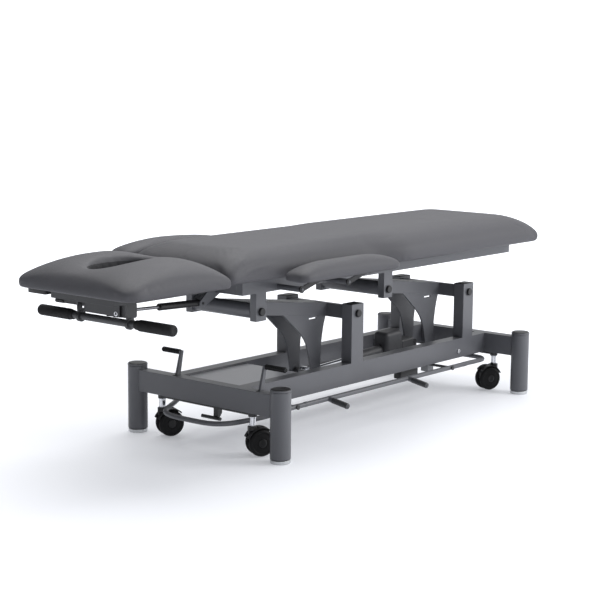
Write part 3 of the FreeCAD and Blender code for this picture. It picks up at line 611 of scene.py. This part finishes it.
# ------------------------------------------------------------------ grips
for side, g in (("left", 1), ("right", -1)):
    lo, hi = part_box("grip_" + side)
    cx, cz = (lo.x + hi.x) / 2, (lo.z + hi.z) / 2
    L0 = 0.151
    y0 = 0.1305 * g
    prof = [(0.0, 0.0118), (0.0, 0.0135), (0.003, 0.0142), (0.012, 0.0142), (0.0135, 0.0158), (0.017, 0.0168)]
    h = 0.020
    while h < L0 - 0.016:
        prof += [(h, 0.0169), (h + 0.0028, 0.0169), (h + 0.0034, 0.0163), (h + 0.0042, 0.0163), (h + 0.0048, 0.0169)]
        h += 0.0056
    prof += [(h + 0.002, 0.0169), (L0 - 0.008, 0.0169), (L0 - 0.004, 0.0161), (L0 - 0.0012, 0.0140), (L0, 0.0100), (L0 - 0.0008, 0.0085), (L0 - 0.0008, 0.0001)]
    gr = lathe("hand_grip_" + side, (cx, y0, cz), (0, g, 0), prof, 56)
    dress(gr, FOAM, "rubber_black", "head_section", "grip_" + side)

# ------------------------------------------------------------------ castor wheels
for tag in ("head_right", "head_left", "foot_right", "foot_left"):
    n = "castor_wheels_" + tag
    co = np.array([v.co for v in NODES[n].data.vertices])
    c = (co.min(0) + co.max(0)) / 2
    # axle direction from the thin direction of the wheel set
    xy = co[:, :2] - c[:2]
    best = min(((np.ptp(xy @ np.array([math.cos(a), math.sin(a)])), a) for a in np.linspace(0, math.pi, 721)), key=lambda q: q[0])[1]
    ax = Vector((math.cos(best), math.sin(best), 0))
    R = 0.0425
    cc = Vector((c[0], c[1], c[2]))
    whole = None
    for sg in (-1, 1):
        prof = [(0.0082, 0.006), (0.0082, 0.030), (0.0086, R - 0.004), (0.0105, R - 0.0012), (0.0135, R), (0.0165, R + 0.0), (0.0190, R - 0.0006),
                (0.0220, R - 0.0024), (0.0243, R - 0.0062), (0.0248, R - 0.0090), (0.0236, R - 0.0100), (0.0232, R - 0.0125),
                (0.0240, R - 0.0145), (0.0246, 0.0180), (0.0248, 0.0150), (0.0230, 0.0140), (0.0228, 0.0090), (0.0246, 0.0082), (0.0249, 0.0060), (0.0249, 0.0001)]
        w = lathe("castor_tyre_%s_%s" % (tag, "a" if sg < 0 else "b"), cc, ax * sg, prof, 72)
        dress(w, RUBBER, "rubber_black", n)
        whole = whole or w
        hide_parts(n)
        cap = lathe("castor_hub_%s_%s" % (tag, "a" if sg < 0 else "b"), cc, ax * sg,
                    [(0.0247, 0.0001), (0.0247, 0.0135), (0.0252, 0.0132), (0.0262, 0.0105), (0.0266, 0.0060), (0.0267, 0.0001)][::-1], 48)
        dress(cap, PLASTIC, "black_plastic", n)
    axle = lathe("castor_axle_" + tag, cc, ax, [(-0.0085, 0.0048), (0.0085, 0.0048)], 32)
    dress(axle, ZINC, "stem_chrome", n)

# ------------------------------------------------------------------ chrome stems on the castor carriers
for tag, x in (("head", -0.481), ("foot", 0.863)):
    for sd, y in (("right", -0.194), ("left", 0.194)):
        st = lathe("castor_stem_%s_%s" % (tag, sd), (x, y, 0.0972), (0, 0, 1),
                   [(0.0, 0.0070), (0.0, 0.0102), (0.0012, 0.0108), (0.0040, 0.0108), (0.0046, 0.0103), (0.0250, 0.0103), (0.0256, 0.0112), (0.0290, 0.0112), (0.0296, 0.0101)], 48)
        dress(st, CHROME, "stem_chrome", "castor_carrier_" + tag)

# ------------------------------------------------------------------ post caps, painted shadow discs at the post feet
for n in NODES:
    if n.startswith("post_"):
        lo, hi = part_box(n)
        cx, cy = (lo.x + hi.x) / 2, (lo.y + hi.y) / 2
        cap = lathe("post_cap_" + n[5:], (cx, cy, hi.z - 0.0006), (0, 0, 1),
                    [(0.0, 0.0290), (0.0010, 0.0302), (0.0022, 0.0300), (0.0030, 0.0285), (0.0034, 0.0240), (0.0037, 0.0120), (0.0038, 0.0001)], 72)
        dress(cap, PLASTIC, "black_plastic", "base")
        # painted shade: a thin near-black disc under each post's foot for the shadow gap there
        gap = lathe("post_foot_shadow_disc_" + n[5:], (cx, cy, lo.z - 0.0012), (0, 0, 1),
                    [(0.0, 0.0285), (0.0, 0.0302), (0.0016, 0.0302), (0.0016, 0.0285)], 72)
        dress(gap, DARKIN, "black_plastic", "base")


# ------------------------------------------------------------------ fasteners
def bolt(name, at, direction, body, r=0.008, h=0.005, mat=None, socket=True):
    prof = [(0.0, r), (h - 0.0012, r), (h - 0.0004, r - 0.0005), (h, r - 0.0013)]
    if socket:
        prof += [(h, r * 0.52), (h - 0.0006, r * 0.50), (h * 0.45, r * 0.48), (h * 0.45, 0.0001)]
    else:
        prof += [(h + 0.0006, r * 0.6), (h + 0.0008, 0.0001)]
    o = lathe(name, at, direction, prof, 40)
    dress(o, mat or ZINC, "stem_chrome", body)
    return o


def washer(name, at, direction, body, r=0.011, h=0.0014, mat=None):
    o = lathe(name, at, direction, [(0.0, r * 0.5), (0.0, r), (h * 0.7, r), (h, r - 0.0004), (h, r * 0.5)], 40, caps=False)
    dress(o, mat or ZINC, "stem_chrome", body)
    return o


bolt("bolt_side_right", (0.675, -0.1632, 0.164), (0, -1, 0), "base", 0.0075, 0.005)
bolt("bolt_side_left", (0.675, 0.1632, 0.164), (0, 1, 0), "base", 0.0075, 0.005)
bolt("bolt_latch", (-0.9062, -0.048, 0.480), (-1, 0, 0), "head_section", 0.008, 0.006)

# ------------------------------------------------------------------ sleeves on the foot lever pins and the pegs
a13 = math.radians(13.0)
tx, tz = -0.478 + 0.094 * math.sin(a13), 0.190 + 0.094 * math.cos(a13)


def sleeve(name, p0, p1, r, body, mat, slot="rubber_black", ribs=True):
    p0, p1 = Vector(p0), Vector(p1)
    L_ = (p1 - p0).length
    prof = [(0.0, r * 0.80), (0.0, r), (0.0015, r + 0.0006)]
    h = 0.006
    while h < L_ - 0.010:
        prof += [(h, r + 0.0006), (h + 0.0014, r - 0.0002), (h + 0.0030, r - 0.0002), (h + 0.0044, r + 0.0006)] if ribs else [(h, r + 0.0004)]
        h += 0.0074
    prof += [(L_ - 0.004, r + 0.0006), (L_ - 0.0015, r - 0.0006), (L_, r * 0.72), (L_ + 0.0004, 0.0001)]
    o = lathe(name, p0, p1 - p0, prof, 40)
    dress(o, mat, slot, body)
    return o


sleeve("lever_sleeve_right", (tx, -0.2265, tz), (tx, -0.3075, tz), 0.0078, "castor_levers", RUBBER)
sleeve("lever_sleeve_left", (tx, 0.1375, tz), (tx, 0.2145, tz), 0.0078, "castor_levers", RUBBER)
HZ = 0.1285
for i, (x0, x1) in enumerate(((-0.136, -0.141), (0.299, 0.292))):
    for sg, nm in ((-1, "right"), (1, "left")):
        a, b = Vector((x0, sg * 0.213, HZ)), Vector((x1, sg * 0.298, HZ - 0.0125))
        d = (b - a).normalized()
        sleeve("peg_sleeve_%d_%s" % (i, nm), a + d * 0.020, b + d * 0.0005, 0.0089, "foot_bar", MOTOR)

# ------------------------------------------------------------------ small plates and blocks seen under the frame
dress(rbox("plug_rail_right", (1.0182, -0.1478, 0.4957), (1.0205, -0.1260, 0.5423), 0.0009), PLASTIC, "black_plastic", "top_frame")
dress(rbox("plug_rail_left", (1.0182, 0.1260, 0.4957), (1.0205, 0.1478, 0.5423), 0.0009), PLASTIC, "black_plastic", "top_frame")
dress(rbox("stop_block_left", (-1.000, 0.155, 0.5235), (-0.968, 0.232, 0.5438), 0.003), PLASTIC, "black_plastic", "head_section")
for tag, ax in (("head", 0.077), ("foot", 0.7313)):
    for sd, sg in (("right", -1), ("left", 1)):
        lo, hi = sorted((sg * 0.1225, sg * 0.1615))
        dress(rbox("plug_upright_%s_%s" % (tag, sd), (ax - 0.0300, lo, 0.4062), (ax + 0.0300, hi, 0.4080), 0.0008), PLASTIC, "black_plastic", "base")

dress(rbox("bracket_beam_right", (0.329, -0.1600, 0.1120), (0.431, -0.1290, 0.1398), 0.003), PLASTIC, "black_plastic", "base")
dress(rbox("junction_box", (0.5750, -0.1000, 0.0935), (0.6120, -0.0680, 0.1398), 0.003), GREY, "black_plastic", "base")

# ------------------------------------------------------------------ stage, light, camera
fl = mesh_obj("floor", [(-14, -14, 0), (26, -14, 0), (26, 26, 0), (-14, 26, 0)], [(0, 1, 2, 3)], smooth=False)
fm = bpy.data.materials.new("studio_floor")
fm.use_nodes = True
ft = fm.node_tree
pb = fm.node_tree.nodes["Principled BSDF"]
pb.inputs["Base Color"].default_value = (0.63, 0.64, 0.67, 1)
pb.inputs["Emission Color"].default_value = (0.94, 0.955, 1.0, 1)
# painted light: the floor glows, 0.31 near the object to lift the shadow under it, rising to 1.1 further out so it
# fades to white
ftc = ft.nodes.new("ShaderNodeTexCoord")
fln = ft.nodes.new("ShaderNodeVectorMath")
fln.operation = "LENGTH"
fmr = ft.nodes.new("ShaderNodeMapRange")
fmr.interpolation_type = "SMOOTHSTEP"
fmr.inputs["From Min"].default_value = 0.95
fmr.inputs["From Max"].default_value = 4.2
fmr.inputs["To Min"].default_value = 0.31
fmr.inputs["To Max"].default_value = 1.1
ft.links.new(ftc.outputs["Object"], fln.inputs[0])
ft.links.new(fln.outputs["Value"], fmr.inputs["Value"])
ft.links.new(fmr.outputs["Result"], pb.inputs["Emission Strength"])
pb.inputs["Roughness"].default_value = 0.6
pb.inputs["Specular IOR Level"].default_value = 0.2
fl.data.materials.append(fm)
fl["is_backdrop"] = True

w = bpy.data.worlds.new("studio")
SC.world = w
w.use_nodes = True
bg = w.node_tree.nodes["Background"]
bg.inputs[0].default_value = (0.965, 0.98, 1.0, 1)
wt = w.node_tree
wc = wt.nodes.new("ShaderNodeTexCoord")
wd = wt.nodes.new("ShaderNodeVectorMath")
wd.operation = "DOT_PRODUCT"
wd.inputs[1].default_value = (0.76, -0.58, 0.29)
wt.links.new(wc.outputs["Generated"], wd.inputs[0])
wm = wt.nodes.new("ShaderNodeMapRange")
wm.interpolation_type = "SMOOTHSTEP"
wm.inputs["From Min"].default_value = -0.62
wm.inputs["From Max"].default_value = 0.75
wm.inputs["To Min"].default_value = 0.09
wm.inputs["To Max"].default_value = 1.0
wt.links.new(wd.outputs["Value"], wm.inputs["Value"])
lp = wt.nodes.new("ShaderNodeLightPath")
wx = wt.nodes.new("ShaderNodeMix")
wt.links.new(lp.outputs["Is Camera Ray"], wx.inputs[0])
wt.links.new(wm.outputs["Result"], wx.inputs[2])
wx.inputs[3].default_value = 1.15
wt.links.new(wx.outputs[0], bg.inputs[1])


def area(name, loc, target, size, power, color=(1, 1, 1)):
    li = bpy.data.lights.new(name, "AREA")
    li.shape = "RECTANGLE"
    li.size, li.size_y = size
    li.energy = power
    li.color = color
    o = link(bpy.data.objects.new(name, li))
    o.location = loc
    o.rotation_mode = "QUATERNION"
    o.rotation_quaternion = (Vector(target) - Vector(loc)).to_track_quat("-Z", "Y")
    return o


area("key_top", (0.4, 0.8, 3.6), (0.2, 0.0, 0.4), (4.2, 3.0), 124, (1.0, 0.995, 0.985))
area("key_side", (2.4, -3.6, 2.4), (0.2, 0.0, 0.3), (2.2, 1.8), 112, (1.0, 0.99, 0.98))

cam = bpy.data.cameras.new("camera")
cam.lens = 94.65
cam.sensor_width = 36.0
cam.clip_end = 200
co = link(bpy.data.objects.new("camera", cam))
R = Vector((0.64193119, -0.76671155, 0.00881703))
U = Vector((0.11265117, 0.10567927, 0.98799879))
F = Vector((0.75844186, 0.63323399, -0.15420978))
co.matrix_world = Matrix(((R.x, U.x, -F.x, -4.009158544), (R.y, U.y, -F.y, -3.324280563), (R.z, U.z, -F.z, 1.224050126), (0, 0, 0, 1)))
SC.camera = co

bpy.context.view_layer.update()
lo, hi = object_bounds()
